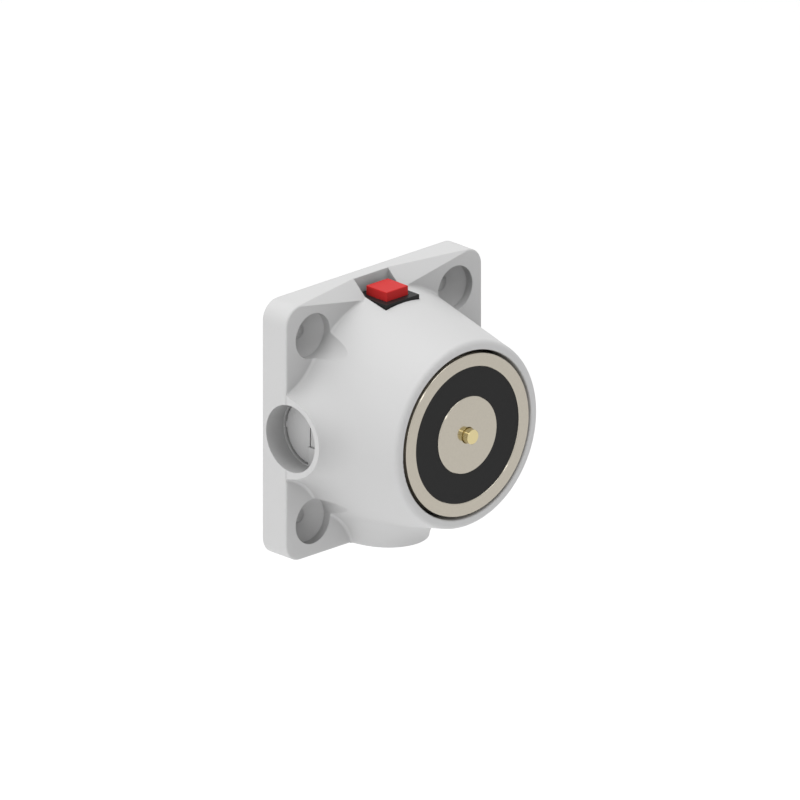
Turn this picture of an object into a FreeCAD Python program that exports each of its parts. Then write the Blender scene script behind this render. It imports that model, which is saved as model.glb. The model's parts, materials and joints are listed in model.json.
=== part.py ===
import FreeCAD, Part
import math
import os

os.makedirs("parts", exist_ok=True)

Vector = FreeCAD.Vector

# An electromagnetic door holder for a wall, with a release button on top. Millimetres.
# The wall is the plane Y = 0 and the origin is the middle of the base's wall face. The object
# stands out of the wall towards -Y, so every depth below is a distance in front of the wall.
# +Z is up and +X is to the right for a person who faces the wall.

# Square base of the housing
base_size = 85.0
base_thickness = 10.6
base_corner = 6.2
base_edge = 0.6
wall = 2.5

# Conical body on the base
body_depth = 48.4
body_radius = 38.25
body_draft = 11.53
rim_round = 1.8
foot_round = 1.0

# Cable entries: blind bores left, right and at the bottom, each in a boss that flares into the body
entry_radius = 11.0
entry_length = 7.7
entry_wall = 1.75
entry_floor = 2.0
entry_axis_depth = 12.5
entry_pad = 0.8
entry_pad_drop = 4.6
entry_groove = 0.45
entry_lip = 0.2
entry_seam = 0.35
entry_seam_depth = 0.9
entry_seam_web = 2.0
flare_front = 12.0
flare_rear = 28.0

# Corner recesses for the wall screws
screw_spacing = 61.8
recess_radius = 7.45
recess_depth = 2.8
countersink_depth = 4.0
screw_hole_radius = 2.5
post_wall = 1.9
post_hub = 2.1
post_web = 2.0

# Ramps that lead from the top edge of the base down beside the button
ramp_start = 4.5
ramp_across_slope = 0.2
ramp_down_slope = 1.1

# Well of the button's switch
well_back = 4.75
well_front = 19.25
well_half_width = 7.4
well_wall = 2.0
well_floor = 2.0
well_ledge = 1.5
cut_past = 0.1

# Pot magnet and its seat in the body
magnet_radius = 26.65
magnet_gap = 1.05
magnet_proud = 0.2
magnet_edge = 0.3
pot_back = 7.0
pot_ring_wall = 4.36
core_radius = 12.7
sleeve_wall = 2.2
seat_behind_well = 2.2
seat_edge = 0.5
partition = 2.5
narrowest_slot = 1.6
rib_thickness = 2.0
rib_back_depth = 15.0

# Coil in the pot
bobbin_wall = 1.0
bobbin_flange = 1.2
bobbin_gap = 0.2
winding_gap = 0.05
winding_clear = 1.2
potting_thickness = 3.0
potting_recess = 0.3
potting_gap = 0.03

# Ejector pin in the core
pin_radius = 2.4
pin_fit = 0.05
pin_proud = 2.35
pin_edge = 0.15
pin_guide = 7.5
pin_flange_thickness = 2.0
pin_spigot_radius = 1.75
pin_spigot_length = 4.0
chamber_radius = 4.5
chamber_clear = 0.35
plug_length = 5.0
plug_slot = 1.2
thread_gap = 0.04
pin_spring_wire = 0.8
pin_spring_turns = 5.0

# Screws that hold the pot from behind
magnet_screw_offset = 17.5
magnet_screw_radius = 2.0
magnet_screw_head_radius = 3.6
magnet_screw_head = 2.5
magnet_screw_reach = 4.5
washer_radius = 4.2
washer_thickness = 0.9
washer_split = 1.0
hole_clear = 0.2
hex_radius = 1.45
hex_depth = 1.5

# Bush for the coil leads
bush_offset = 12.2
bush_radius = 2.4
bush_bore = 1.75
bush_flange_radius = 3.6
bush_flange = 1.0

# Push-button switch
switch_width = 14.4
switch_depth = 14.0
switch_drop = 5.15
switch_height = 14.0
switch_back_gap = 0.25
switch_wall = 1.2
switch_floor = 1.5
switch_lug = 0.85
switch_lug_height = 2.4
switch_lug_width = 4.0
cap_width = 9.45
cap_depth = 9.3
cap_height = 2.95
cap_gap = 0.2
cap_round = 0.25
collar_overlap = 0.3
collar_thickness = 1.2
collar_gap = 0.05
button_travel = 2.0
stem_width = 3.6
stem_length = 3.5
stem_tip_radius = 1.2
stem_tip_clear = 0.45
bridge_thickness = 0.6
bridge_gap = 0.6
bridge_width = 3.4
contact_thickness = 0.6
contact_width = 2.8
contact_tag = 5.0
contact_inset = 0.35
contact_slot_gap = 0.03
spring_seat_radius = 1.2
spring_seat_height = 0.8
button_spring_wire = 0.45
button_spring_radius = 2.35
button_spring_turns = 3.5

# Terminal block on the back of the partition
block_width = 21.0
block_height = 14.0
block_depth = 8.5
block_centre_z = -14.0
block_pad = 2.0
block_edge = 0.8
pole_pitch = 11.0
pole_depth = 4.6
clamp_bore = 1.75
clamp_wall = 0.95
clamp_screw_radius = 1.25
clamp_screw_head_radius = 1.9
clamp_screw_head = 1.1
clamp_screw_stand = 0.1
clamp_screw_pitch = 7.0
clamp_end_gap = 0.6
fixing_screw_radius = 1.25
fixing_head_radius = 2.3
fixing_head = 1.6
fixing_recess = 4.2
fixing_reach = 3.6
driver_slot = 0.6
driver_slot_depth = 0.7

# Diode across the terminals, and the leads
diode_radius = 1.35
diode_length = 5.2
diode_wire = 0.35
diode_rise = 4.5
lead_radius = 0.7
wire_insert = 2.5
wire_clear = 0.1

# Values that follow from those above
half_base = base_size / 2
screw_place = screw_spacing / 2
draft_slope = math.tan(math.radians(body_draft))
draft_wall = wall / math.cos(math.radians(body_draft))
magnet_front = body_depth + magnet_proud
magnet_back = well_front + seat_behind_well
partition_back = magnet_back - partition
seat_radius = magnet_radius + magnet_gap
sleeve_radius = seat_radius + sleeve_wall
boss_radius = entry_radius + entry_wall
ring_inner = magnet_radius - pot_ring_wall
coil_back = magnet_back + pot_back
potting_front = magnet_front - potting_recess
bobbin_front = potting_front - potting_thickness
winding_back = coil_back + bobbin_flange + winding_gap
switch_top = half_base - switch_drop
switch_mid_depth = well_back + switch_back_gap + switch_depth / 2
switch_bottom = switch_top - switch_height
case_bottom = switch_bottom + switch_floor
collar_top = switch_top - switch_wall - collar_gap
collar_bottom = collar_top - collar_thickness
stem_bottom = collar_bottom - stem_length
bridge_bottom = stem_bottom - bridge_thickness
tip_bottom = case_bottom + spring_seat_height + button_travel + stem_tip_clear
contact_x = switch_width / 2 - switch_wall - contact_inset - contact_thickness / 2
pole_back = partition_back - block_pad
pole_mid_depth = pole_back - pole_depth
lead_depth = pole_mid_depth + clamp_bore - lead_radius - wire_clear
lead_end = switch_bottom - contact_tag
block_back = pole_back - block_depth
block_top = block_centre_z + block_height / 2
block_bottom = block_centre_z - block_height / 2


def body_radius_at(depth):
    """Radius of the conical body at a depth."""
    return body_radius - draft_slope * (depth - base_thickness)


def at(x, depth, z):
    """Point at a depth in front of the wall."""
    return Vector(x, -depth, z)


def block(x_low, x_high, depth_low, depth_high, z_low, z_high):
    """Box between two depths."""
    size = (x_high - x_low, depth_high - depth_low, z_high - z_low)
    return Part.makeBox(*size, at(x_low, depth_high, z_low))


def rod(radius, depth_low, depth_high, x=0.0, z=0.0):
    """Cylinder that stands out from the wall."""
    return Part.makeCylinder(radius, depth_high - depth_low, at(x, depth_low, z), Vector(0, -1, 0))


def upright(radius, z_low, z_high, x, depth):
    """Cylinder along Z."""
    return Part.makeCylinder(radius, z_high - z_low, at(x, depth, z_low), Vector(0, 0, 1))


def turned(outline, x=0.0, z=0.0):
    """Turned piece about a line that stands out from the wall, from (radius, depth) points."""
    corners = [at(x + radius, depth, z) for radius, depth in outline]
    face = Part.Face(Part.makePolygon(corners + corners[:1]))
    return face.revolve(Vector(x, 0, z), Vector(0, -1, 0), 360)


def extruded(corners, direction):
    """Prism from corner points."""
    return Part.Face(Part.makePolygon(corners + corners[:1])).extrude(direction)


def turned_about_body(shape, degrees):
    """Copy of a shape, turned about the body's axis. At 90 degrees what was left is at the bottom."""
    copy = shape.copy()
    copy.rotate(Vector(0, 0, 0), Vector(0, -1, 0), degrees)
    return copy


def joined(shapes):
    """All shapes as one."""
    return shapes[0].fuse(shapes[1:]) if len(shapes) > 1 else shapes[0]


def circle_edges_at(shape, depth, radius):
    """Circular edges of one radius at one depth."""
    found = [edge for edge in shape.Edges if lies_at(edge, depth) and isinstance(edge.Curve, Part.Circle)]
    return [edge for edge in found if abs(edge.Curve.Radius - radius) < 1e-4]


def save(name, shape):
    """Writes one piece, or one group of like pieces."""
    solids = shape.Solids
    result = solids[0] if len(solids) == 1 else Part.makeCompound(solids)
    state = "valid" if result.isValid() else "NOT VALID"
    print(f"{name:24s} solids {len(solids)}  volume {result.Volume:10.2f}  {state}")
    result.exportStep(f"parts/{name}.step")


# Outer form of the housing

def quarter():
    """Space of one quarter of the housing, from the axis to the left side."""
    far = -half_base
    corners = [Vector(0, 0, 0), Vector(far, 0, far), Vector(far, 0, -far)]
    return extruded(corners, Vector(0, -2 * body_depth, 0))


def plain_cone(back):
    """Conical body from a depth to its rounded front rim."""
    length = body_depth - back
    cone = Part.makeCone(body_radius_at(back), body_radius_at(body_depth), length,
                         at(0, back, 0), Vector(0, -1, 0))
    rim = circle_edges_at(cone, body_depth, body_radius_at(body_depth))
    return cone.makeFillet(rim_round, rim)


def flared_half():
    """Lower half of the body with one cable boss, on the left, that flares into it."""
    # Both forms run on far behind the wall, to leave room for the large blend between them.
    behind = 2 * (boss_radius + flare_rear)
    reach = base_size + flare_rear
    boss = Part.makeCylinder(boss_radius, reach, at(0, entry_axis_depth, 0), Vector(-1, 0, 0))
    both = plain_cone(-behind).fuse(boss)
    half = both.common(block(-reach, reach, -behind, 2 * body_depth, 0, reach))
    seam = [edge for edge in half.Edges if isinstance(edge.Curve, Part.BSplineCurve)]
    # The blend grows along the seam, from the front of the boss to its rear behind the wall.
    return mirrored(half.makeFillet(flare_front, flare_rear, seam))


def mirrored(half):
    """Mirror image across the plane Z = 0."""
    return half.mirror(Vector(0, 0, 0), Vector(0, 0, 1))


def with_foot(half):
    """What stands in front of the base, with a small round where it meets the base's face."""
    far = base_size
    front = half.common(block(-far, far, base_thickness, 2 * body_depth, -far, 0))
    slab = block(-far, far, 0, base_thickness, -far, 0)
    both = front.fuse(slab)
    foot = [edge for edge in both.Edges if lies_at(edge, base_thickness) and not on_border(edge, far)]
    return both.makeFillet(foot_round, foot).cut(slab)


def lies_at(edge, depth):
    """Whether an edge lies at one depth all along."""
    box = edge.BoundBox
    return abs(box.YMax + depth) < 1e-4 and abs(box.YMin + depth) < 1e-4


def on_border(edge, far):
    """Whether an edge lies on the border of the lower half of a square plate."""
    box = edge.BoundBox
    on_x = box.XLength < 1e-4 and abs(abs(box.XMin) - far) < 1e-4
    on_z = box.ZLength < 1e-4 and min(abs(box.ZMin), abs(box.ZMin + far)) < 1e-4
    return on_x or on_z


def body_form():
    """Whole body: three flared quarters and a plain one at the top, which goes on under the ramps."""
    lower = with_foot(flared_half()).common(quarter())
    side = lower.fuse(mirrored(lower))
    cone = plain_cone(0.0)
    below = turned_about_body(quarter(), 90)
    foot = turned_about_body(with_foot(cone).common(below), 180)
    above = turned_about_body(quarter(), -90)
    top = cone.common(above).fuse(foot.cut(ramp(-1)).cut(ramp(1)))
    return joined([side, turned_about_body(side, 180), turned_about_body(side, 90), top])


def base_form():
    """Square base with soft front edges and two ramps in its top edge."""
    plate = block(-half_base, half_base, 0, base_thickness, -half_base, half_base)
    corners = [edge for edge in plate.Edges if abs(edge.BoundBox.YLength - base_thickness) < 1e-4]
    plate = plate.makeFillet(base_corner, corners)
    front = [edge for edge in plate.Edges if abs(edge.BoundBox.YMax + base_thickness) < 1e-4]
    plate = plate.makeFillet(base_edge, front)
    return plate.cut(ramp(-1)).cut(ramp(1))


def ramp(side):
    """Space above one sloping ramp, between the well and the corner."""
    start = half_base - ramp_start
    fall = ramp_across_slope * (start - well_half_width)
    over = base_thickness * 2
    # At the outer end the ramp starts on the front edge. Beside the well it has fallen by `fall`.
    outer = [at(side * start, base_thickness, half_base)]
    outer += [at(side * start, base_thickness + over, half_base - over / ramp_down_slope)]
    outer += [at(side * start, base_thickness + over, half_base + over)]
    near = side * well_half_width
    inner = [at(near, base_thickness - fall - over, half_base + over / ramp_down_slope)]
    inner += [at(near, base_thickness + over, half_base - (over + fall) / ramp_down_slope)]
    inner += [at(near, base_thickness + over, half_base + over)]
    outer_back = at(side * start, base_thickness - over, half_base + over / ramp_down_slope)
    outer_wire = Part.makePolygon([outer_back, outer[1], outer[2], outer_back])
    inner_wire = Part.makePolygon([inner[0], inner[1], inner[2], inner[0]])
    return Part.makeLoft([outer_wire, inner_wire], True, True)


# Inside of the housing

def ramp_wall(side):
    """Space above a ramp, lowered by a wall, so that the wall goes on under the ramp."""
    lowered = ramp(side)
    steepness = math.sqrt(ramp_across_slope ** 2 + ramp_down_slope ** 2 + 1)
    lowered.translate(Vector(0, 0, -wall * steepness / ramp_down_slope))
    return lowered


def inner_space():
    """All that is hollow behind the wall thickness, before ribs and seats are put back."""
    inside = half_base - wall
    plate = block(-inside, inside, -wall, base_thickness - wall, -inside, inside)
    corners = [edge for edge in plate.Edges if edge.BoundBox.YLength > base_thickness - wall]
    plate = plate.makeFillet(base_corner - wall, corners)
    slot_front = sleeve_radius + narrowest_slot + draft_wall
    front = max(partition_back, base_thickness + (body_radius - slot_front) / draft_slope)
    outline = [(0, -wall), (body_radius_at(-wall) - draft_wall, -wall)]
    outline += [(body_radius_at(front) - draft_wall, front), (0, front)]
    return plate.fuse(turned(outline))


def magnet_seat():
    """Sleeve round the magnet, its back wall, and ribs from the sleeve to the body's wall."""
    pieces = [rod(sleeve_radius, partition_back, body_depth)]
    half = rib_thickness / 2
    rib = block(-body_radius, -seat_radius, rib_back_depth, body_depth, -half, half)
    for step in range(8):
        if step != 6:
            pieces.append(turned_about_body(rib, 45 * step))
    return pieces


def entry_cups():
    """Closed cups behind the three cable entries."""
    depth = entry_length + entry_pad + entry_floor
    cup = Part.makeCylinder(boss_radius, depth, at(-half_base, entry_axis_depth, 0), Vector(1, 0, 0))
    return [turned_about_body(cup, degrees) for degrees in (0, 90, 180)]


def screw_places():
    """Centres of the four wall screws."""
    return [(x, z) for x in (-screw_place, screw_place) for z in (-screw_place, screw_place)]


def well_box(grow, z_low, z_high):
    """Box round the switch's well, larger by a wall."""
    return block(-well_half_width - grow, well_half_width + grow, well_back - grow,
                 well_front + grow, z_low, z_high)


def housing_shell():
    """The moulded housing."""
    hollow = inner_space()
    keep = magnet_seat() + entry_cups()
    keep += [rod(recess_radius + post_wall, 0, base_thickness, x, z) for x, z in screw_places()]
    keep.append(well_box(well_wall, switch_bottom - well_floor, half_base))
    keep.append(block(-block_width / 2, block_width / 2, pole_back, partition_back,
                      block_bottom, block_top))
    keep += [ramp_wall(side) for side in (-1, 1)]
    shell = base_form().fuse(body_form()).cut(hollow.cut(keep))
    for cut in housing_cuts():
        shell = shell.cut(cut)
    return shell


def seat_space():
    """Round space of the magnet, widened at its mouth by a round edge."""
    mouth = rod(seat_radius + 2 * seat_edge, body_depth, 2 * body_depth)
    space = rod(seat_radius, magnet_back, 2 * body_depth).fuse(mouth)
    return space.makeFillet(seat_edge, circle_edges_at(space, body_depth, seat_radius))


def housing_cuts():
    """All holes and recesses of the housing."""
    cuts = [seat_space()]
    cuts += [entry_bore(degrees) for degrees in (0, 90, 180)]
    cuts += [screw_recess(x, z) for x, z in screw_places()]
    cuts.append(well_box(0.0, switch_bottom, 2 * half_base))
    cuts.append(switch_box(well_ledge, switch_bottom - 2 * well_floor, switch_bottom))
    cuts += [lug_window(side) for side in (-1, 1)]
    screw_hole = magnet_screw_radius + hole_clear
    for side in (-1, 1):
        cuts.append(rod(screw_hole, 0, magnet_back, side * magnet_screw_offset))
    cuts.append(rod(bush_radius + hole_clear, 0, magnet_back, bush_offset, bush_offset))
    cuts.append(rod(fixing_screw_radius + thread_gap, 0, pole_back + fixing_reach, 0, block_centre_z))
    return cuts


def entry_bore(degrees):
    """Blind bore of one cable entry. Its floor has a raised pad, a groove and a thin seam."""
    mouth = at(-2 * half_base, entry_axis_depth, 0)
    wall_end = -half_base + entry_length
    floor = wall_end + entry_pad
    bore = Part.makeCylinder(entry_radius, wall_end + 2 * half_base, mouth, Vector(1, 0, 0))
    deep = Part.makeCylinder(entry_radius - entry_lip, floor + 2 * half_base, mouth, Vector(1, 0, 0))
    pad = block(wall_end, floor, entry_axis_depth, entry_axis_depth + entry_radius,
                -entry_radius, -entry_pad_drop)
    groove = block(floor - entry_groove, floor + entry_groove, entry_axis_depth,
                   entry_axis_depth + entry_groove, -entry_pad_drop, entry_radius - entry_groove)
    return turned_about_body(joined([deep.cut(pad), bore, groove, entry_seam_ring(floor)]), degrees)


def entry_seam_ring(floor):
    """Thin seam round the rear half of an entry's floor, with a web in its middle."""
    outer = entry_radius - entry_lip
    start = at(floor - entry_seam, entry_axis_depth, 0)
    length = entry_seam + entry_seam_depth
    ring = Part.makeCylinder(outer, length, start, Vector(1, 0, 0))
    ring = ring.cut(Part.makeCylinder(outer - entry_seam, length, start, Vector(1, 0, 0)))
    rear = entry_axis_depth - entry_radius
    half = entry_seam_web / 2
    upper = block(-half_base, 0, rear, entry_axis_depth, half, entry_radius)
    lower = block(-half_base, 0, rear, entry_axis_depth, -entry_radius, -half)
    return ring.common(upper.fuse(lower))


def screw_recess(x, z):
    """Recess, countersink and hole of one wall screw, with the ring that cores out its post."""
    sink_front = base_thickness - recess_depth
    sink_back = sink_front - countersink_depth
    outline = [(0, -wall), (screw_hole_radius, -wall), (screw_hole_radius, sink_back)]
    outline += [(recess_radius, sink_front), (recess_radius, 2 * body_depth), (0, 2 * body_depth)]
    slope = countersink_depth / (recess_radius - screw_hole_radius)
    hub = screw_hole_radius + post_hub
    web = post_web * math.sqrt(1 + slope ** 2)
    ring_floor = sink_back - web + slope * (hub - screw_hole_radius)
    ring = [(hub, -wall), (recess_radius, -wall), (recess_radius, sink_front - web), (hub, ring_floor)]
    return turned(outline, x, z).fuse(turned(ring, x, z))


def lug_window(side):
    """Window in the well's side wall for a snap lug of the switch."""
    near = well_half_width - cut_past
    far = well_half_width + well_wall + cut_past
    half = switch_lug_width / 2 + hole_clear
    top = lug_top() + hole_clear
    x_low, x_high = sorted((side * near, side * far))
    return block(x_low, x_high, switch_mid_depth - half, switch_mid_depth + half,
                 top - switch_lug_height - 2 * hole_clear, top)


def lug_top():
    """Height of the snap lugs' upper faces."""
    return (switch_top + switch_bottom) / 2 + switch_lug_height / 2


# Magnet

def pot_core():
    """Turned steel pot with its core, the pin's chamber, two threads and a hole for the leads."""
    edge = magnet_edge
    outline = [(0, magnet_back), (magnet_radius - edge, magnet_back)]
    outline += [(magnet_radius, magnet_back + edge), (magnet_radius, magnet_front - edge)]
    outline += [(magnet_radius - edge, magnet_front), (ring_inner + edge, magnet_front)]
    outline += [(ring_inner, magnet_front - edge), (ring_inner, coil_back), (core_radius, coil_back)]
    outline += [(core_radius, magnet_front - edge), (core_radius - edge, magnet_front)]
    outline += [(0, magnet_front)]
    guide = pin_radius + pin_fit
    chamber_front = magnet_front - pin_guide
    bore = [(0, magnet_back), (chamber_radius, magnet_back), (chamber_radius, chamber_front)]
    bore += [(guide, chamber_front), (guide, magnet_front - edge)]
    bore += [(guide + edge, magnet_front), (0, magnet_front)]
    pot = turned(outline).cut(turned(bore))
    for side in (-1, 1):
        deep = magnet_back + magnet_screw_reach + washer_thickness
        pot = pot.cut(rod(magnet_screw_radius + thread_gap, magnet_back, deep, side * magnet_screw_offset))
    return pot.cut(rod(bush_radius + hole_clear, magnet_back, coil_back, bush_offset, bush_offset))


def coil_bobbin():
    """Moulded former of the coil."""
    inner = core_radius + bobbin_gap
    outer = ring_inner - bobbin_gap
    tube = inner + bobbin_wall
    outline = [(inner, coil_back), (outer, coil_back), (outer, coil_back + bobbin_flange)]
    outline += [(tube, coil_back + bobbin_flange), (tube, bobbin_front - bobbin_flange)]
    outline += [(outer, bobbin_front - bobbin_flange), (outer, bobbin_front), (inner, bobbin_front)]
    hole = rod(bush_radius, 0, coil_back + 2 * bobbin_flange, bush_offset, bush_offset)
    return turned(outline).cut(hole)


def coil_winding():
    """Copper winding, its turns as one solid."""
    inner = core_radius + bobbin_gap + bobbin_wall + winding_gap
    outer = ring_inner - bobbin_gap - winding_clear
    front = bobbin_front - bobbin_flange - winding_gap
    return turned([(inner, winding_back), (outer, winding_back), (outer, front), (inner, front)])


def potting_ring():
    """Cast resin over the coil."""
    inner = core_radius + potting_gap
    outer = ring_inner - potting_gap
    return turned([(inner, bobbin_front), (outer, bobbin_front), (outer, potting_front),
                   (inner, potting_front)])


def ejector_pin():
    """Brass pin with the flange that stops it and the spigot that guides its spring."""
    tip = magnet_front + pin_proud
    stop = magnet_front - pin_guide
    flange_radius = chamber_radius - chamber_clear
    flange_back = stop - pin_flange_thickness
    outline = [(0, flange_back - pin_spigot_length), (pin_spigot_radius, flange_back - pin_spigot_length)]
    outline += [(pin_spigot_radius, flange_back), (flange_radius, flange_back), (flange_radius, stop)]
    outline += [(pin_radius, stop), (pin_radius, tip - pin_edge), (pin_radius - pin_edge, tip), (0, tip)]
    return turned(outline)


def ejector_plug():
    """Screwed plug behind the pin's spring, with a slot for a driver."""
    plug = rod(chamber_radius - thread_gap, magnet_back, magnet_back + plug_length)
    return plug.cut(block(-chamber_radius, chamber_radius, magnet_back, magnet_back + plug_slot,
                          -plug_slot / 2, plug_slot / 2))


def coil_spring(wire, mean_radius, length, turns):
    """Open helical spring along Z from the origin, with flat closed ends as rings."""
    radius = wire / 2
    rise = length - 2 * wire
    helix = Part.makeHelix(rise / turns, rise, mean_radius)
    helix.translate(Vector(0, 0, wire))
    section = Part.Wire([Part.makeCircle(radius, Vector(mean_radius, 0, wire), Vector(0, 1, 0))])
    coil = Part.Wire(helix).makePipeShell([section], True, True)
    ring = Part.makeTorus(mean_radius, radius, Vector(0, 0, radius))
    top = Part.makeTorus(mean_radius, radius, Vector(0, 0, length - radius))
    return joined([coil, ring, top])


def ejector_spring():
    """Spring between the plug and the pin's flange."""
    back = magnet_back + plug_length
    front = magnet_front - pin_guide - pin_flange_thickness
    mean_radius = chamber_radius - chamber_clear - pin_spring_wire / 2
    spring = coil_spring(pin_spring_wire, mean_radius, front - back, pin_spring_turns)
    spring.rotate(Vector(0, 0, 0), Vector(1, 0, 0), 90)
    spring.translate(at(0, back, 0))
    return spring


def screw(radius, head_radius, head, shank, x, depth, z):
    """Screw whose head is at the back and whose shank runs forwards from a depth."""
    return rod(head_radius, depth - head, depth, x, z).fuse(rod(radius, depth, depth + shank, x, z))


def magnet_screws():
    """Two screws with hexagon sockets that hold the pot against the partition."""
    under_head = partition_back - washer_thickness
    shank = partition + washer_thickness + magnet_screw_reach
    corners = [(math.cos(math.radians(60 * step)), math.sin(math.radians(60 * step))) for step in range(6)]
    pieces = []
    for side in (-1, 1):
        x = side * magnet_screw_offset
        back = under_head - magnet_screw_head
        body = screw(magnet_screw_radius, magnet_screw_head_radius, magnet_screw_head, shank,
                     x, under_head, 0)
        socket = [at(x + hex_radius * c, back, hex_radius * s) for c, s in corners]
        pieces.append(body.cut(extruded(socket, Vector(0, -hex_depth, 0))))
    return Part.makeCompound(pieces)


def magnet_washers():
    """Split spring washers under the screw heads."""
    pieces = []
    for side in (-1, 1):
        x = side * magnet_screw_offset
        ring = rod(washer_radius, partition_back - washer_thickness, partition_back, x)
        ring = ring.cut(rod(magnet_screw_radius + thread_gap, 0, magnet_back, x))
        split = block(x, x + washer_radius, 0, magnet_back, -washer_split / 2, washer_split / 2)
        pieces.append(ring.cut(split))
    return Part.makeCompound(pieces)


def lead_bush():
    """Bush that takes the coil leads through the pot and the partition."""
    back = partition_back - bush_flange
    outline = [(bush_bore, back), (bush_flange_radius, back), (bush_flange_radius, partition_back)]
    outline += [(bush_radius, partition_back), (bush_radius, coil_back - bobbin_flange)]
    outline += [(bush_bore, coil_back - bobbin_flange)]
    return turned(outline, bush_offset, bush_offset)


# Switch

def switch_box(inset, z_low, z_high):
    """Box in the switch's outline, smaller by an inset."""
    return block(-switch_width / 2 + inset, switch_width / 2 - inset,
                 switch_mid_depth - switch_depth / 2 + inset,
                 switch_mid_depth + switch_depth / 2 - inset, z_low, z_high)


def cap_box(grow, z_low, z_high):
    """Box in the cap's outline, larger by a gap."""
    return block(-cap_width / 2 - grow, cap_width / 2 + grow, switch_mid_depth - cap_depth / 2 - grow,
                 switch_mid_depth + cap_depth / 2 + grow, z_low, z_high)


def switch_case():
    """Case of the switch, open below, with the cap's opening on top and two snap lugs."""
    case = switch_box(0, case_bottom, switch_top)
    case = case.cut(switch_box(switch_wall, case_bottom, switch_top - switch_wall))
    case = case.cut(cap_box(cap_gap, case_bottom, switch_top))
    top = lug_top()
    side_x = switch_width / 2
    half = switch_lug_width / 2
    for side in (-1, 1):
        corners = [at(side * side_x, switch_mid_depth - half, top),
                   at(side * (side_x + switch_lug), switch_mid_depth - half, top),
                   at(side * side_x, switch_mid_depth - half, top - switch_lug_height)]
        case = case.fuse(extruded(corners, Vector(0, -switch_lug_width, 0)))
    return case


def switch_base():
    """Floor of the switch, with a seat for the spring and slots for the contacts."""
    base = switch_box(0, switch_bottom, case_bottom)
    seat = upright(spring_seat_radius, case_bottom, case_bottom + spring_seat_height, 0, switch_mid_depth)
    base = base.fuse(seat)
    for side in (-1, 1):
        base = base.cut(contact_strip(side, switch_bottom, case_bottom, contact_slot_gap))
    return base


def contact_strip(side, z_low, z_high, grow):
    """Upright strip of one fixed contact."""
    half = contact_thickness / 2 + grow
    width = contact_width / 2 + grow
    return block(side * contact_x - half, side * contact_x + half, switch_mid_depth - width,
                 switch_mid_depth + width, z_low, z_high)


def switch_contacts():
    """Two fixed contacts: a strip through the floor, and a tab above the bridge."""
    pieces = []
    for side in (-1, 1):
        strip = contact_strip(side, switch_bottom - contact_tag, stem_bottom + contact_thickness, 0)
        inner = side * (stem_width / 2 + bridge_gap)
        x_low, x_high = sorted((inner, side * contact_x))
        tab = block(x_low, x_high, switch_mid_depth - contact_width / 2,
                    switch_mid_depth + contact_width / 2, stem_bottom, stem_bottom + contact_thickness)
        pieces.append(strip.fuse(tab))
    return Part.makeCompound(pieces)


def switch_button():
    """Red cap with the collar that stops it and the stem that carries the bridge."""
    top = switch_top + cap_height
    cap = cap_box(0, collar_bottom, top)
    upper = [edge for edge in cap.Edges if edge.BoundBox.ZMax > top - 1e-4]
    cap = cap.makeFillet(cap_round, upper)
    collar = cap_box(cap_gap + collar_overlap, collar_bottom, collar_top)
    half = stem_width / 2
    stem = block(-half, half, switch_mid_depth - half, switch_mid_depth + half, stem_bottom, collar_bottom)
    tip = upright(stem_tip_radius, tip_bottom, stem_bottom, 0, switch_mid_depth)
    return joined([cap, collar, stem, tip])


def contact_bridge():
    """Moving contact on the stem's tip, pressed up against the fixed contacts."""
    length = contact_x - contact_thickness / 2 - bridge_gap
    strip = block(-length, length, switch_mid_depth - bridge_width / 2,
                  switch_mid_depth + bridge_width / 2, bridge_bottom, stem_bottom)
    return strip.cut(upright(stem_tip_radius + thread_gap, bridge_bottom, stem_bottom, 0, switch_mid_depth))


def button_spring():
    """Spring between the floor of the switch and the bridge."""
    mean_radius = button_spring_radius - button_spring_wire / 2
    spring = coil_spring(button_spring_wire, mean_radius, bridge_bottom - case_bottom, button_spring_turns)
    spring.translate(at(0, switch_mid_depth, case_bottom))
    return spring


# Terminals

def pole_places():
    """Distances of the two poles from the middle."""
    return (-pole_pitch / 2, pole_pitch / 2)


def clamp_screw_heights():
    """Heights of the two clamp screws of a pole."""
    return (block_centre_z - clamp_screw_pitch / 2, block_centre_z + clamp_screw_pitch / 2)


def terminal_block():
    """Moulded block with a tunnel for each pole, and wells for its screws."""
    half = block_width / 2
    body = block(-half, half, block_back, pole_back, block_bottom, block_top)
    rear = [edge for edge in body.Edges if edge.BoundBox.YMin > -block_back - 1e-4]
    body = body.makeFillet(block_edge, rear)
    tunnel = clamp_bore + clamp_wall + thread_gap
    for x in pole_places():
        body = body.cut(upright(tunnel, block_bottom, block_top, x, pole_mid_depth))
        for z in clamp_screw_heights():
            body = body.cut(rod(clamp_screw_head_radius + hole_clear, 0, pole_mid_depth, x, z))
    body = body.cut(rod(fixing_screw_radius + 2 * hole_clear, 0, pole_back, 0, block_centre_z))
    return body.cut(rod(fixing_head_radius + hole_clear, 0, pole_back - fixing_recess, 0, block_centre_z))


def terminal_clamps():
    """Brass tube of each pole, tapped for its two screws."""
    pieces = []
    for x in pole_places():
        low = block_bottom + clamp_end_gap
        high = block_top - clamp_end_gap
        tube = upright(clamp_bore + clamp_wall, low, high, x, pole_mid_depth)
        tube = tube.cut(upright(clamp_bore, low, high, x, pole_mid_depth))
        for z in clamp_screw_heights():
            tube = tube.cut(rod(clamp_screw_radius + thread_gap, 0, pole_mid_depth, x, z))
        pieces.append(tube)
    return Part.makeCompound(pieces)


def slotted(shape, x, z, depth, width):
    """Screw with a driver slot cut into the head that starts at a depth."""
    half = driver_slot / 2
    return shape.cut(block(x - width, x + width, depth, depth + driver_slot_depth, z - half, z + half))


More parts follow.
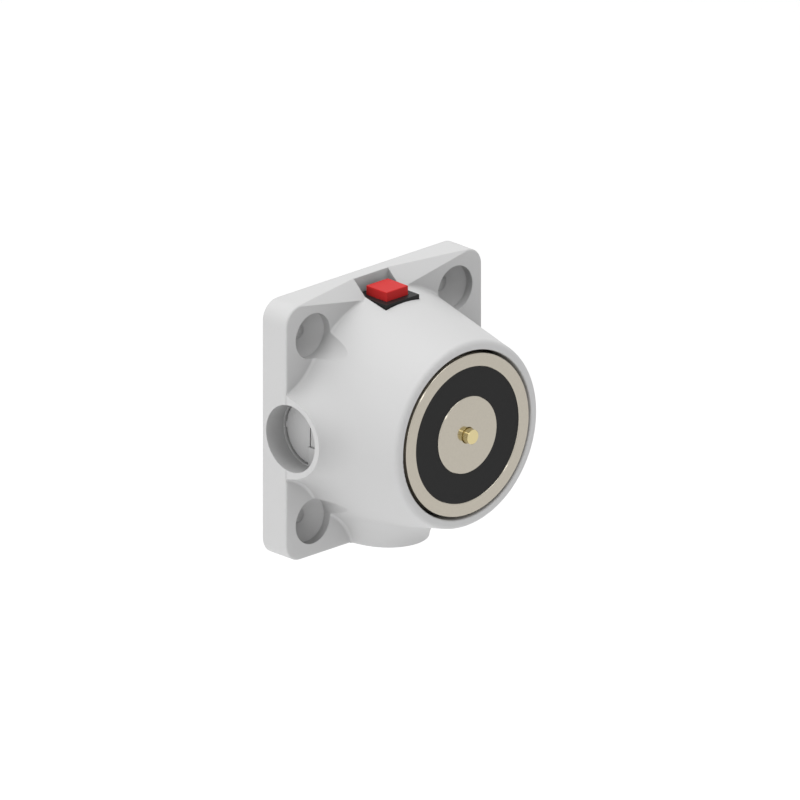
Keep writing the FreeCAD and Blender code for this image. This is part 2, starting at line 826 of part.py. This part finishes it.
def terminal_screws():
    """Clamp screws, their tips on the conductors."""
    tip = pole_mid_depth - clamp_bore
    under_head = tip - clamp_wall - clamp_screw_stand
    pieces = []
    for x in pole_places():
        for z in clamp_screw_heights():
            body = screw(clamp_screw_radius, clamp_screw_head_radius, clamp_screw_head,
                         tip - under_head, x, under_head, z)
            pieces.append(slotted(body, x, z, under_head - clamp_screw_head, clamp_screw_head_radius))
    return Part.makeCompound(pieces)


def terminal_fixing_screw():
    """Screw that holds the block to the partition."""
    under_head = pole_back - fixing_recess
    body = screw(fixing_screw_radius, fixing_head_radius, fixing_head,
                 fixing_recess + fixing_reach, 0, under_head, block_centre_z)
    return slotted(body, 0, block_centre_z, under_head - fixing_head, fixing_head_radius)


# Wires

def wire_path(points):
    """Straight runs joined by tangent arcs, as large as their two runs allow."""
    edges = []
    radii = []
    start = points[0]
    for index in range(1, len(points) - 1):
        before, corner, after = points[index - 1:index + 2]
        run_in = corner - before
        run_out = after - corner
        half_turn = run_in.getAngle(run_out) / 2
        radius = 0.45 * min(run_in.Length, run_out.Length) / math.tan(half_turn)
        cut = radius * math.tan(half_turn)
        to_before = Vector(run_in).normalize()
        to_after = Vector(run_out).normalize()
        first = corner - to_before * cut
        last = corner + to_after * cut
        towards_centre = (to_after - to_before).normalize()
        middle = corner + towards_centre * (radius / math.cos(half_turn) - radius)
        edges.append(Part.LineSegment(start, first).toShape())
        edges.append(Part.Arc(first, middle, last).toShape())
        radii.append(radius)
        start = last
    edges.append(Part.LineSegment(start, points[-1]).toShape())
    return Part.Wire(edges), radii


def tube(name, points, radius):
    """Wire of a round section along its route, with its volume compared with section times length."""
    path, radii = wire_path(points)
    section = Part.Wire([Part.makeCircle(radius, points[0], points[1] - points[0])])
    solid = path.makePipeShell([section], True, False)
    ratio = solid.Volume / (math.pi * radius ** 2 * path.Length)
    print(f"{name}: length {path.Length:.1f}, radii {[round(r, 1) for r in radii]}, volume ratio {ratio:.4f}")
    return solid


def between(first, last, share):
    """Value at a share of the way between two others."""
    return first + share * (last - first)


def supply_lead():
    """Lead from the left terminal up to the switch's left contact."""
    x = -contact_x
    pole_x = -pole_pitch / 2
    points = [at(pole_x, lead_depth, block_top - wire_insert)]
    points += [at(pole_x, lead_depth, block_top + 5 * lead_radius)]
    points += [at(pole_x - 5 * lead_radius, lead_depth - 3.5 * lead_radius,
                  between(block_top, lead_end, 0.37))]
    points += [at(pole_x - 4 * lead_radius, switch_mid_depth - 3.5 * lead_radius,
                  between(block_top, lead_end, 0.66))]
    points += [at(x, switch_mid_depth, lead_end - 6.5 * lead_radius), at(x, switch_mid_depth, lead_end)]
    return tube("supply_lead", points, lead_radius)


def switch_lead():
    """Lead from the switch's right contact down, round a loop and through the bush to the coil."""
    bush = bush_offset + lead_radius
    loop_z = bush - 12.5 * lead_radius
    points = [at(contact_x, switch_mid_depth, lead_end)]
    points += [at(contact_x, switch_mid_depth, between(lead_end, loop_z, 0.52))]
    points += [at(contact_x + 3 * lead_radius, switch_mid_depth - 3 * lead_radius, loop_z)]
    points += [at(bush - lead_radius, switch_mid_depth - 3.5 * lead_radius, loop_z)]
    points += [at(bush + 0.5 * lead_radius, switch_mid_depth - 2.5 * lead_radius, bush - 3.5 * lead_radius)]
    points += [at(bush, partition_back - 3.5 * lead_radius, bush), at(bush, winding_back, bush)]
    return tube("switch_lead", points, lead_radius)


def coil_lead():
    """Lead from the coil through the bush down to the right terminal."""
    bush = bush_offset - lead_radius
    pole_x = pole_pitch / 2
    points = [at(bush, winding_back, bush), at(bush, partition_back - 6 * lead_radius, bush)]
    points += [at(bush - lead_radius, partition_back - 10 * lead_radius, between(block_top, bush, 0.78))]
    points += [at(bush - 1.5 * lead_radius, partition_back - 11 * lead_radius, between(block_top, bush, 0.5))]
    points += [at(pole_x, lead_depth, block_top + 5 * lead_radius)]
    points += [at(pole_x, lead_depth, block_top - wire_insert)]
    return tube("coil_lead", points, lead_radius)


def suppressor_diode():
    """Diode with its wires bent down into the two terminals."""
    z = block_top + diode_rise
    wire_depth = pole_mid_depth - clamp_bore + diode_wire + wire_clear
    half = pole_pitch / 2
    bend = 3.5 * diode_wire
    points = [at(-half, wire_depth, block_top - wire_insert), at(-half, wire_depth, z - bend)]
    points += [at(-half + bend, wire_depth, z), at(half - bend, wire_depth, z)]
    points += [at(half, wire_depth, z - bend), at(half, wire_depth, block_top - wire_insert)]
    wires = tube("diode wires", points, diode_wire)
    start = at(-diode_length / 2, wire_depth, z)
    body = Part.makeCylinder(diode_radius, diode_length, start, Vector(1, 0, 0))
    return body.fuse(wires)


save("housing", housing_shell())
save("pot_core", pot_core())
save("coil_bobbin", coil_bobbin())
save("coil_winding", coil_winding())
save("potting_ring", potting_ring())
save("ejector_pin", ejector_pin())
save("ejector_spring", ejector_spring())
save("ejector_plug", ejector_plug())
save("lead_bush", lead_bush())
save("magnet_screws", magnet_screws())
save("magnet_washers", magnet_washers())
save("switch_case", switch_case())
save("switch_base", switch_base())
save("switch_button", switch_button())
save("contact_bridge", contact_bridge())
save("switch_contacts", switch_contacts())
save("button_spring", button_spring())
save("terminal_block", terminal_block())
save("terminal_clamps", terminal_clamps())
save("terminal_screws", terminal_screws())
save("terminal_fixing_screw", terminal_fixing_screw())
save("suppressor_diode", suppressor_diode())
save("supply_lead", supply_lead())
save("switch_lead", switch_lead())
save("coil_lead", coil_lead())
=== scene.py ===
import json
from math import radians, sin, cos

import bpy
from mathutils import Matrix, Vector


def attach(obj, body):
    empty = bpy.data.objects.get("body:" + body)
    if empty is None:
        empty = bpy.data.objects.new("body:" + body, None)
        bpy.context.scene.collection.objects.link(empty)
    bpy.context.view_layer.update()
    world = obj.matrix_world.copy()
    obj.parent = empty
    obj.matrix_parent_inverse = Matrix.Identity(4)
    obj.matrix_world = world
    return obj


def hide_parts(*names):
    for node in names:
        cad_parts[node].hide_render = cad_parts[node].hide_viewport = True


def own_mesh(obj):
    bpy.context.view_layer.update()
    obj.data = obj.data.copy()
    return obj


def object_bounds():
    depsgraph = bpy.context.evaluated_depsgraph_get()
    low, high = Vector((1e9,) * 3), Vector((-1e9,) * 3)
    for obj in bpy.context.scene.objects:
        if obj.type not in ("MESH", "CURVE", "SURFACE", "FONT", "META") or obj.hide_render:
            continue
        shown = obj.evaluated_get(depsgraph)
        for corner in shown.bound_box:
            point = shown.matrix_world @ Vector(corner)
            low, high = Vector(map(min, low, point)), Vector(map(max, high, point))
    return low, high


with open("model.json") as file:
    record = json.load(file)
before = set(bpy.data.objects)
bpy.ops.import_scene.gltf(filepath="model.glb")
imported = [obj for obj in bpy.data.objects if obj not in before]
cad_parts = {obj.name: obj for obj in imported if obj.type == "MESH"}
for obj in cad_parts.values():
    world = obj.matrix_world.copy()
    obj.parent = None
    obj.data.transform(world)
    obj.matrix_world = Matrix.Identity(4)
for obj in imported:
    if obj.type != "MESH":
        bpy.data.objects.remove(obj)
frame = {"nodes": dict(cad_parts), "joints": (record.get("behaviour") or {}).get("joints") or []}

# Door holder on its own, seen from its upper left. Metres, wall plane at y = 0, front towards -y.

cadLow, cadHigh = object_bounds()


# Shared effects

noise = {"grainDetail": 3, "grainRoughness": 0.6, "cloudDetail": 2, "ringDetail": 2, "speckDetail": 2,
         "speckScale": 2600}


def newGroup(name, inputs, outputs):
    group = bpy.data.node_groups.new(name, "ShaderNodeTree")
    for label, kind, value in inputs:
        socket = group.interface.new_socket(label, in_out="INPUT", socket_type=kind)
        if value is not None:
            socket.default_value = value
    for label, kind in outputs:
        group.interface.new_socket(label, in_out="OUTPUT", socket_type=kind)
    return group, group.nodes.new("NodeGroupInput"), group.nodes.new("NodeGroupOutput")


def mathNode(tree, operation, first, second=None):
    node = tree.nodes.new("ShaderNodeMath")
    node.operation = operation
    for index, value in enumerate((first, second)):
        if value is None:
            continue
        if isinstance(value, (int, float)):
            node.inputs[index].default_value = value
        else:
            tree.links.new(value, node.inputs[index])
    return node.outputs[0]


def buildMouldedGrain():
    # Fine eroded grain of a moulded surface, with a faint cloudiness of tone.
    group, inside, out = newGroup(
        "mouldedGrain",
        [("Colour", "NodeSocketColor", (0.8, 0.8, 0.8, 1)), ("Grain Size", "NodeSocketFloat", 0.0004),
         ("Cloud Size", "NodeSocketFloat", 0.02), ("Cloud Strength", "NodeSocketFloat", 0.03),
         ("Roughness", "NodeSocketFloat", 0.5), ("Roughness Spread", "NodeSocketFloat", 0.1)],
        [("Colour", "NodeSocketColor"), ("Roughness", "NodeSocketFloat"), ("Height", "NodeSocketFloat")])
    coords = group.nodes.new("ShaderNodeTexCoord").outputs["Object"]
    grain = group.nodes.new("ShaderNodeTexNoise")
    grain.inputs["Detail"].default_value = noise["grainDetail"]
    grain.inputs["Roughness"].default_value = noise["grainRoughness"]
    cloud = group.nodes.new("ShaderNodeTexNoise")
    cloud.inputs["Detail"].default_value = noise["cloudDetail"]
    group.links.new(coords, grain.inputs["Vector"])
    group.links.new(coords, cloud.inputs["Vector"])
    group.links.new(mathNode(group, "DIVIDE", 1.0, inside.outputs["Grain Size"]), grain.inputs["Scale"])
    group.links.new(mathNode(group, "DIVIDE", 1.0, inside.outputs["Cloud Size"]), cloud.inputs["Scale"])
    centred = mathNode(group, "SUBTRACT", cloud.outputs["Fac"], 0.5)
    tone = mathNode(group, "MULTIPLY", centred, inside.outputs["Cloud Strength"])
    tint = group.nodes.new("ShaderNodeHueSaturation")
    group.links.new(inside.outputs["Colour"], tint.inputs["Color"])
    group.links.new(mathNode(group, "ADD", tone, 1.0), tint.inputs["Value"])
    group.links.new(tint.outputs["Color"], out.inputs["Colour"])
    spread = mathNode(group, "MULTIPLY", mathNode(group, "SUBTRACT", grain.outputs["Fac"], 0.5),
                      inside.outputs["Roughness Spread"])
    group.links.new(mathNode(group, "ADD", spread, inside.outputs["Roughness"]), out.inputs["Roughness"])
    group.links.new(grain.outputs["Fac"], out.inputs["Height"])
    return group


def buildTurnedMarks():
    # Fine rings round an axis along y, as a lathe leaves them, broken up by a little noise.
    group, inside, out = newGroup(
        "turnedMarks",
        [("Colour", "NodeSocketColor", (0.6, 0.6, 0.6, 1)), ("Pitch", "NodeSocketFloat", 0.0002),
         ("Ring Tone", "NodeSocketFloat", 0.04), ("Grain Tone", "NodeSocketFloat", 0.05),
         ("Roughness", "NodeSocketFloat", 0.35), ("Roughness Spread", "NodeSocketFloat", 0.1)],
        [("Colour", "NodeSocketColor"), ("Roughness", "NodeSocketFloat"), ("Height", "NodeSocketFloat")])
    coords = group.nodes.new("ShaderNodeTexCoord").outputs["Object"]
    parts = group.nodes.new("ShaderNodeSeparateXYZ")
    group.links.new(coords, parts.inputs[0])
    squares = [mathNode(group, "MULTIPLY", parts.outputs[axis], parts.outputs[axis]) for axis in ("X", "Z")]
    radius = mathNode(group, "SQRT", mathNode(group, "ADD", squares[0], squares[1]))
    rings = group.nodes.new("ShaderNodeTexNoise")
    rings.noise_dimensions = "1D"
    rings.inputs["Detail"].default_value = noise["ringDetail"]
    group.links.new(radius, rings.inputs["W"])
    group.links.new(mathNode(group, "DIVIDE", 1.0, inside.outputs["Pitch"]), rings.inputs["Scale"])
    speck = group.nodes.new("ShaderNodeTexNoise")
    speck.inputs["Scale"].default_value = noise["speckScale"]
    speck.inputs["Detail"].default_value = noise["speckDetail"]
    group.links.new(coords, speck.inputs["Vector"])
    ringTone = mathNode(group, "MULTIPLY", mathNode(group, "SUBTRACT", rings.outputs["Fac"], 0.5),
                        inside.outputs["Ring Tone"])
    speckTone = mathNode(group, "MULTIPLY", mathNode(group, "SUBTRACT", speck.outputs["Fac"], 0.5),
                         inside.outputs["Grain Tone"])
    tone = mathNode(group, "ADD", ringTone, speckTone)
    tint = group.nodes.new("ShaderNodeHueSaturation")
    group.links.new(inside.outputs["Colour"], tint.inputs["Color"])
    group.links.new(mathNode(group, "ADD", tone, 1.0), tint.inputs["Value"])
    group.links.new(tint.outputs["Color"], out.inputs["Colour"])
    spread = mathNode(group, "MULTIPLY", mathNode(group, "SUBTRACT", speck.outputs["Fac"], 0.5),
                      inside.outputs["Roughness Spread"])
    group.links.new(mathNode(group, "ADD", spread, inside.outputs["Roughness"]), out.inputs["Roughness"])
    group.links.new(rings.outputs["Fac"], out.inputs["Height"])
    return group


mouldedGrain = buildMouldedGrain()
turnedMarks = buildTurnedMarks()


# Materials

edgeSamples = 6


def darkerForBounces(tree, colour, bounce):
    # Hit by a diffuse ray the surface is darker, so hollows keep their depth in soft light.
    path = tree.nodes.new("ShaderNodeLightPath")
    tone = tree.nodes.new("ShaderNodeMix")
    tone.data_type = "RGBA"
    first, second = [socket for socket in tone.inputs if socket.type == "RGBA"]
    second.default_value = bounce
    tree.links.new(path.outputs["Is Diffuse Ray"], tone.inputs["Factor"])
    tree.links.new(colour, first)
    return next(socket for socket in tone.outputs if socket.type == "RGBA")


def softEdges(tree, radius):
    # Corners of one piece shade as if rounded a little, as a mould or a deburring leaves them.
    rounded = tree.nodes.new("ShaderNodeBevel")
    rounded.samples = edgeSamples
    rounded.inputs["Radius"].default_value = radius
    return rounded.outputs["Normal"]


def newMaterial(name, effect, settings):
    # One material: the effect's colour, roughness and height drive a Principled shader.
    material = bpy.data.materials.new(name)
    material.use_nodes = True
    tree = material.node_tree
    shader = tree.nodes["Principled BSDF"]
    group = tree.nodes.new("ShaderNodeGroup")
    group.node_tree = effect
    for label, value in settings["effect"].items():
        group.inputs[label].default_value = value
    colour = group.outputs["Colour"]
    if "bounce" in settings:
        colour = darkerForBounces(tree, colour, settings["bounce"])
    tree.links.new(colour, shader.inputs["Base Color"])
    tree.links.new(group.outputs["Roughness"], shader.inputs["Roughness"])
    bump = tree.nodes.new("ShaderNodeBump")
    bump.inputs["Strength"].default_value = settings["bumpStrength"]
    bump.inputs["Distance"].default_value = settings["bumpDepth"]
    tree.links.new(group.outputs["Height"], bump.inputs["Height"])
    if "edgeRadius" in settings:
        tree.links.new(softEdges(tree, settings["edgeRadius"]), bump.inputs["Normal"])
    tree.links.new(bump.outputs["Normal"], shader.inputs["Normal"])
    for label, value in settings.get("shader", {}).items():
        shader.inputs[label].default_value = value
    return material


housingFinish = {
    "effect": {"Colour": (0.72, 0.72, 0.72, 1), "Grain Size": 0.00045, "Cloud Size": 0.03,
               "Cloud Strength": 0.02, "Roughness": 0.5, "Roughness Spread": 0.12},
    "bumpStrength": 0.35, "bumpDepth": 0.00003, "bounce": (0.1, 0.1, 0.1, 1), "edgeRadius": 0.0004,
    "shader": {"IOR": 1.49, "Specular IOR Level": 0.35},
}
nickelFinish = {
    "effect": {"Colour": (0.47, 0.435, 0.37, 1), "Pitch": 0.00025, "Ring Tone": 0.06, "Grain Tone": 0.16,
               "Roughness": 0.15, "Roughness Spread": 0.06},
    "bumpStrength": 0.2, "bumpDepth": 0.000004, "edgeRadius": 0.0003, "shader": {"Metallic": 1.0},
}
resinFinish = {
    "effect": {"Colour": (0.012, 0.012, 0.012, 1), "Grain Size": 0.0008, "Cloud Size": 0.006,
               "Cloud Strength": 0.1, "Roughness": 0.5, "Roughness Spread": 0.1},
    "bumpStrength": 0.2, "bumpDepth": 0.00002, "shader": {"IOR": 1.5, "Specular IOR Level": 0.2},
}
brassFinish = {
    "effect": {"Colour": (0.66, 0.56, 0.30, 1), "Pitch": 0.0002, "Ring Tone": 0.06, "Grain Tone": 0.03,
               "Roughness": 0.17, "Roughness Spread": 0.05},
    "bumpStrength": 0.2, "bumpDepth": 0.000002, "shader": {"Metallic": 1.0},
}
redFinish = {
    "effect": {"Colour": (0.7, 0.035, 0.035, 1), "Grain Size": 0.0003, "Cloud Size": 0.01,
               "Cloud Strength": 0.03, "Roughness": 0.42, "Roughness Spread": 0.08},
    "bumpStrength": 0.2, "bumpDepth": 0.00001, "bounce": (0.1, 0.07, 0.07, 1), "edgeRadius": 0.0003,
    "shader": {"IOR": 1.5, "Specular IOR Level": 0.1},
}
blackFinish = {
    "effect": {"Colour": (0.018, 0.018, 0.018, 1), "Grain Size": 0.0003, "Cloud Size": 0.01,
               "Cloud Strength": 0.05, "Roughness": 0.42, "Roughness Spread": 0.1},
    "bumpStrength": 0.3, "bumpDepth": 0.00001, "shader": {"IOR": 1.5, "Specular IOR Level": 0.2},
}
copperFinish = {
    "effect": {"Colour": (0.60, 0.24, 0.10, 1), "Pitch": 0.0003, "Ring Tone": 0.3, "Grain Tone": 0.1,
               "Roughness": 0.3, "Roughness Spread": 0.1},
    "bumpStrength": 0.5, "bumpDepth": 0.00004, "shader": {"Metallic": 1.0},
}
springFinish = {
    "effect": {"Colour": (0.42, 0.42, 0.43, 1), "Pitch": 0.0002, "Ring Tone": 0.08, "Grain Tone": 0.08,
               "Roughness": 0.3, "Roughness Spread": 0.1},
    "bumpStrength": 0.2, "bumpDepth": 0.000006, "shader": {"Metallic": 1.0},
}
zincFinish = {
    "effect": {"Colour": (0.62, 0.64, 0.66, 1), "Pitch": 0.0002, "Ring Tone": 0.08, "Grain Tone": 0.12,
               "Roughness": 0.32, "Roughness Spread": 0.12},
    "bumpStrength": 0.25, "bumpDepth": 0.000008, "shader": {"Metallic": 1.0},
}
bobbinFinish = {
    "effect": {"Colour": (0.66, 0.63, 0.54, 1), "Grain Size": 0.0004, "Cloud Size": 0.01,
               "Cloud Strength": 0.05, "Roughness": 0.45, "Roughness Spread": 0.1},
    "bumpStrength": 0.3, "bumpDepth": 0.00002, "shader": {"IOR": 1.5},
}
terminalFinish = {
    "effect": {"Colour": (0.80, 0.79, 0.74, 1), "Grain Size": 0.0004, "Cloud Size": 0.008,
               "Cloud Strength": 0.03, "Roughness": 0.4, "Roughness Spread": 0.1},
    "bumpStrength": 0.25, "bumpDepth": 0.00002,
    "shader": {"IOR": 1.5, "Subsurface Weight": 0.1, "Subsurface Scale": 0.001},
}
rubberFinish = {
    "effect": {"Colour": (0.02, 0.02, 0.02, 1), "Grain Size": 0.0002, "Cloud Size": 0.004,
               "Cloud Strength": 0.1, "Roughness": 0.7, "Roughness Spread": 0.1},
    "bumpStrength": 0.4, "bumpDepth": 0.00001, "shader": {"IOR": 1.52},
}
diodeFinish = {
    "effect": {"Colour": (0.02, 0.02, 0.022, 1), "Grain Size": 0.0003, "Cloud Size": 0.003,
               "Cloud Strength": 0.1, "Roughness": 0.35, "Roughness Spread": 0.1},
    "bumpStrength": 0.2, "bumpDepth": 0.00001, "shader": {"IOR": 1.5},
}
insulationFinish = {
    "effect": {"Grain Size": 0.0005, "Cloud Size": 0.004, "Cloud Strength": 0.06,
               "Roughness": 0.38, "Roughness Spread": 0.08},
    "bumpStrength": 0.15, "bumpDepth": 0.00001, "shader": {"IOR": 1.5},
}
contactFinish = {
    "effect": {"Colour": (0.74, 0.60, 0.30, 1), "Grain Size": 0.0006, "Cloud Size": 0.003,
               "Cloud Strength": 0.15, "Roughness": 0.32, "Roughness Spread": 0.1},
    "bumpStrength": 0.2, "bumpDepth": 0.00001, "shader": {"Metallic": 1.0},
}
insulationColours = {
    "redInsulation": (0.50, 0.03, 0.02, 1), "blackInsulation": (0.022, 0.022, 0.022, 1),
    "blueInsulation": (0.03, 0.09, 0.42, 1),
}

finishes = {
    "housingPlastic": newMaterial("housingPlastic", mouldedGrain, housingFinish),
    "nickelSteel": newMaterial("nickelSteel", turnedMarks, nickelFinish),
    "pottingResin": newMaterial("pottingResin", mouldedGrain, resinFinish),
    "pinBrass": newMaterial("pinBrass", turnedMarks, brassFinish),
    "redPlastic": newMaterial("redPlastic", mouldedGrain, redFinish),
    "blackPlastic": newMaterial("blackPlastic", mouldedGrain, blackFinish),
    "windingCopper": newMaterial("windingCopper", turnedMarks, copperFinish),
    "springSteel": newMaterial("springSteel", turnedMarks, springFinish),
    "zincSteel": newMaterial("zincSteel", turnedMarks, zincFinish),
    "bobbinPlastic": newMaterial("bobbinPlastic", mouldedGrain, bobbinFinish),
    "terminalPlastic": newMaterial("terminalPlastic", mouldedGrain, terminalFinish),
    "bushRubber": newMaterial("bushRubber", mouldedGrain, rubberFinish),
    "diodePlastic": newMaterial("diodePlastic", mouldedGrain, diodeFinish),
    "contactBrass": newMaterial("contactBrass", mouldedGrain, contactFinish),
}
for label, colour in insulationColours.items():
    settings = {**insulationFinish, "effect": {**insulationFinish["effect"], "Colour": colour}}
    finishes[label] = newMaterial(label, mouldedGrain, settings)
print("materials:", len(finishes))


# The object's pieces

finishOfNode = {
    "housing": "housingPlastic", "pot_core": "nickelSteel", "coil_bobbin": "bobbinPlastic",
    "coil_winding": "windingCopper", "potting_ring": "pottingResin", "ejector_pin": "pinBrass",
    "ejector_spring": "springSteel", "ejector_plug": "zincSteel", "lead_bush": "bushRubber",
    "magnet_screws": "zincSteel", "magnet_washers": "springSteel", "switch_case": "blackPlastic",
    "switch_base": "blackPlastic", "switch_button": "redPlastic", "contact_bridge": "contactBrass",
    "switch_contacts": "contactBrass", "button_spring": "springSteel",
    "terminal_block": "terminalPlastic", "terminal_clamps": "contactBrass", "terminal_screws": "zincSteel",
    "terminal_fixing_screw": "zincSteel", "suppressor_diode": "diodePlastic",
    "supply_lead": "redInsulation", "switch_lead": "blackInsulation", "coil_lead": "blueInsulation",
}
for node, finish in finishOfNode.items():
    mesh = frame["nodes"][node].data
    mesh.materials.clear()
    mesh.materials.append(finishes[finish])
print("pieces finished:", len(finishOfNode))


# Springs, as smooth-shaded copies of the CAD springs

mergeDistance = 1e-6
smoothAngle = radians(40)
travelOf = {joint["name"]: joint["range_m"][1] for joint in frame["joints"]}
springs = {
    "buttonSpringCoil": {"node": "button_spring", "slot": "spring_steel", "joint": "button_press",
                         "axis": (0, 0, 1), "fixedEnd": "low", "travel": travelOf["button_press"]},
    "ejectorSpringCoil": {"node": "ejector_spring", "slot": "spring_steel", "joint": "pin_press",
                          "axis": (0, 1, 0), "fixedEnd": "high", "travel": travelOf["pin_press"]},
}


def buildSpring(name, settings):
    # A merged, smooth-shaded copy of the CAD spring, which takes its place on the base body.
    node = settings["node"]
    spring = bpy.data.objects.new(name, frame["nodes"][node].data.copy())
    bpy.context.scene.collection.objects.link(spring)
    bpy.ops.object.select_all(action="DESELECT")
    bpy.context.view_layer.objects.active = spring
    spring.select_set(True)
    bpy.ops.mesh.customdata_custom_splitnormals_clear()
    bpy.ops.object.mode_set(mode="EDIT")
    bpy.ops.mesh.select_all(action="SELECT")
    bpy.ops.mesh.remove_doubles(threshold=mergeDistance)
    bpy.ops.object.mode_set(mode="OBJECT")
    bpy.ops.object.shade_smooth_by_angle(angle=smoothAngle)
    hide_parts(node)
    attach(spring, "base")
    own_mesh(spring)


for name, settings in springs.items():
    buildSpring(name, settings)
print("springs:", len(springs))


# Floor, light and camera

studio = {"floorDrop": 0.14, "floorSize": 6.0, "floorTone": (0.9, 0.9, 0.9, 1), "floorRoughness": 0.9,
          "floorGlow": 0.29, "ambient": 0.5, "white": 1.0}


def raysThatSeeWhite(tree):
    # 1 for camera, glossy and transmission rays.
    path = tree.nodes.new("ShaderNodeLightPath")
    seen = mathNode(tree, "MAXIMUM", path.outputs["Is Camera Ray"], path.outputs["Is Glossy Ray"])
    return mathNode(tree, "MAXIMUM", seen, path.outputs["Is Transmission Ray"])


def buildFloor():
    bpy.ops.object.select_all(action="DESELECT")
    height = cadLow.z - studio["floorDrop"]
    bpy.ops.mesh.primitive_plane_add(size=studio["floorSize"], location=(0, 0, height))
    floor = bpy.context.object
    floor.name = "studioFloor"
    material = bpy.data.materials.new("paleFloor")
    material.use_nodes = True
    tree = material.node_tree
    shader = tree.nodes["Principled BSDF"]
    shader.inputs["Base Color"].default_value = studio["floorTone"]
    shader.inputs["Roughness"].default_value = studio["floorRoughness"]
    # Seen by the camera or in a reflection, the floor glows up to white and keeps the shadow.
    glow = mathNode(tree, "MULTIPLY", raysThatSeeWhite(tree), studio["floorGlow"])
    shader.inputs["Emission Color"].default_value = (1, 1, 1, 1)
    tree.links.new(glow, shader.inputs["Emission Strength"])
    floor.data.materials.append(material)


def buildWorld():
    world = bpy.data.worlds.new("softRoom")
    bpy.context.scene.world = world
    world.use_nodes = True
    tree = world.node_tree
    background = tree.nodes["Background"]
    level = tree.nodes.new("ShaderNodeMix")
    level.inputs["A"].default_value = studio["ambient"]
    level.inputs["B"].default_value = studio["white"]
    tree.links.new(raysThatSeeWhite(tree), level.inputs["Factor"])
    tree.links.new(level.outputs["Result"], background.inputs["Strength"])
    background.inputs["Color"].default_value = (1, 1, 1, 1)


lamps = {
    "topLamp": {"place": (0, -0.1, 1.5), "size": 0.9, "power": 7.0},
    "glintLamp": {"place": (-0.62, -1.0, 0.9), "size": 0.25, "power": 0.6},
    "wallLamp": {"place": (0, 0.7, 1.3), "size": 1.2, "power": 4.0},
    "leftLamp": {"place": (-1.5, -0.1, 0.15), "size": 0.8, "power": 2.2},
    "backLamp": {"place": (-1.4, 0.5, 0.2), "size": 1.2, "power": 3.0},
}


def buildLamps():
    for name, lamp in lamps.items():
        data = bpy.data.lights.new(name, "AREA")
        data.size = lamp["size"]
        data.energy = lamp["power"]
        item = bpy.data.objects.new(name, data)
        item.location = lamp["place"]
        item.rotation_euler = (-Vector(lamp["place"])).to_track_quat("-Z", "Y").to_euler()
        bpy.context.scene.collection.objects.link(item)


view = {"azimuth": -43.8, "elevation": 20.445, "frameWidth": 0.25076, "distance": 3.0,
        "right": 0.012331, "up": -0.001188}


def buildCamera():
    # The photo's parallel edges stay parallel, so the view is orthographic.
    data = bpy.data.cameras.new("photoCamera")
    data.type = "ORTHO"
    data.ortho_scale = view["frameWidth"]
    data.clip_end = 2 * view["distance"]
    turn, lift = radians(view["azimuth"]), radians(view["elevation"])
    back = Vector((sin(turn) * cos(lift), -cos(turn) * cos(lift), sin(lift)))
    right = Vector((cos(turn), sin(turn), 0))
    aim = right * view["right"] + back.cross(right) * view["up"]
    camera = bpy.data.objects.new("photoCamera", data)
    camera.location = aim + back * view["distance"]
    camera.rotation_euler = (-back).to_track_quat("-Z", "Y").to_euler()
    bpy.context.scene.collection.objects.link(camera)
    bpy.context.scene.camera = camera


buildFloor()
buildWorld()
buildLamps()
buildCamera()
bpy.context.scene.view_settings.view_transform = "Standard"
print("studio ready")
